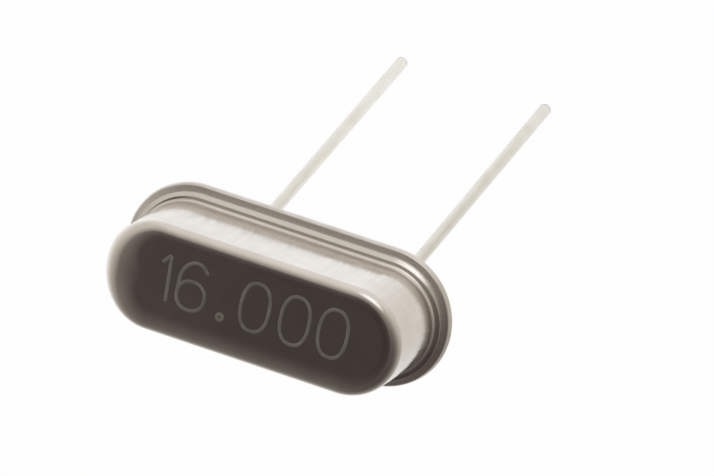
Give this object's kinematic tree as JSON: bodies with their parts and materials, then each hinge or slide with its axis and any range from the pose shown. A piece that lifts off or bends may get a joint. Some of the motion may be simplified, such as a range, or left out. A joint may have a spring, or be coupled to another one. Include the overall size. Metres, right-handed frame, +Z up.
{
  "type": "quartz crystal unit",
  "caption": "Low round-ended metal can with a stepped weld flange and wire leads in glass seals, holding a quartz strip that sets a circuit's frequency.",
  "frame": {"origin": "middle of the seating plane, the underside of the header", "axes": "+Z up through the can, +X along its length; the leads leave downwards and lean towards +Y"},
  "size_m": [0.0106, 0.0055, 0.0173],
  "materials": {
    "can_metal": "bright plated sheet, polished, with fine brush marks on the walls",
    "header_metal": "plated plate, satin",
    "seal_glass": "dark sealing glass, smooth",
    "lead_wire": "tinned wire, satin",
    "clip_metal": "thin plated spring strip",
    "quartz": "lapped and etched quartz",
    "silver_film": "evaporated silver",
    "adhesive": "silver-filled adhesive, dull"
  },
  "bodies": {
    "root": {"cap": "can_metal", "header": "header_metal", "glass_seal_left": "seal_glass", "glass_seal_right": "seal_glass", "lead_left": "lead_wire", "lead_right": "lead_wire", "clip_left": "clip_metal", "clip_right": "clip_metal", "quartz_blank": "quartz", "electrode_front": "silver_film", "electrode_back": "silver_film", "bond_left": "adhesive", "bond_right": "adhesive"}
  },
  "joints": []
}
